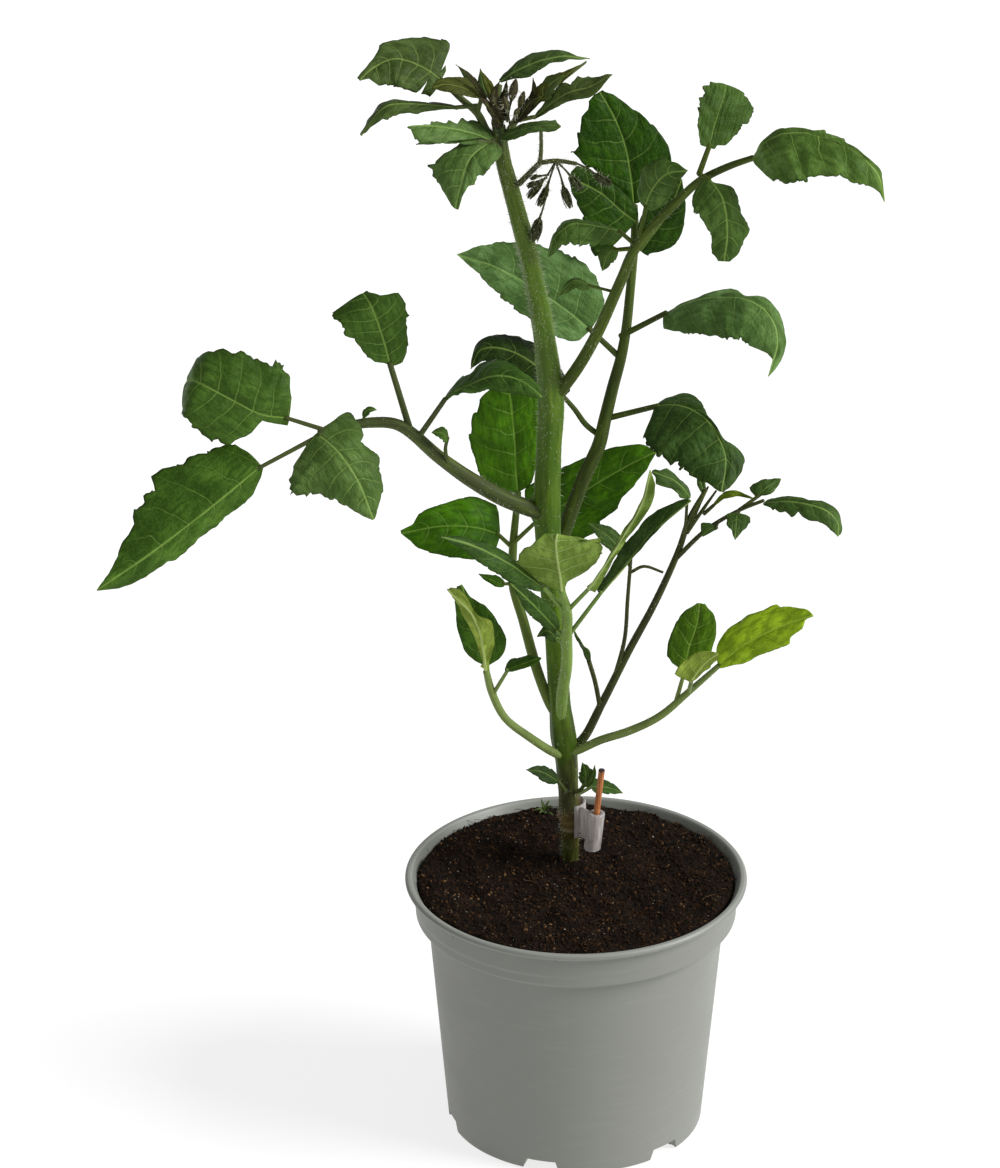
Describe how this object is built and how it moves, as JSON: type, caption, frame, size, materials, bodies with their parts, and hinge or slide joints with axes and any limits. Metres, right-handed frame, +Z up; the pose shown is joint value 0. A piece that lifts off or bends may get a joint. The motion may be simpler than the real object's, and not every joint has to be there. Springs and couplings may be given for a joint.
{
  "type": "potted tomato plant",
  "caption": "Young grafted tomato plant with toothed compound leaves and a flower truss, on a curved stem in a soil-filled round nursery pot.",
  "frame": {"origin": "centre of the pot's flat underside", "axes": "+Z up through the pot's axis, +X to the viewer's right in the picture, -Y towards the viewer"},
  "size_m": [0.2837, 0.1304, 0.4397],
  "materials": {
    "pot": "satin grey moulded polypropylene",
    "soil": "moist fibrous potting mix",
    "stem": "green ridged plant stem with fine hairs",
    "stick": "bare orange-brown wood",
    "clip": "translucent silicone",
    "leaf": "satin green leaf blade with pale veins",
    "young_leaf": "dark hairy young growth"
  },
  "bodies": {
    "root": {"pot": "pot", "soil": "soil", "main_stem": "stem", "support_stick": "stick", "graft_clip": "clip", "soil_sprout": "young_leaf", "leaf_left_upper": "leaf", "leaf_right_upper": "leaf", "leaf_back_right": "leaf", "leaf_back_left": "leaf", "leaf_front": "leaf", "leaf_lower_left": "leaf", "leaf_lower_right": "leaf", "side_shoot": "leaf", "apex_leaf_left": "leaf", "apex_leaf_front": "leaf", "apex_leaf_right": "leaf", "apex_leaf_back": "leaf", "shoot_tip": "young_leaf", "flower_truss": "young_leaf", "basal_leaf_left": "young_leaf", "basal_leaf_right": "young_leaf", "basal_leaf_back": "young_leaf"}
  },
  "joints": []
}
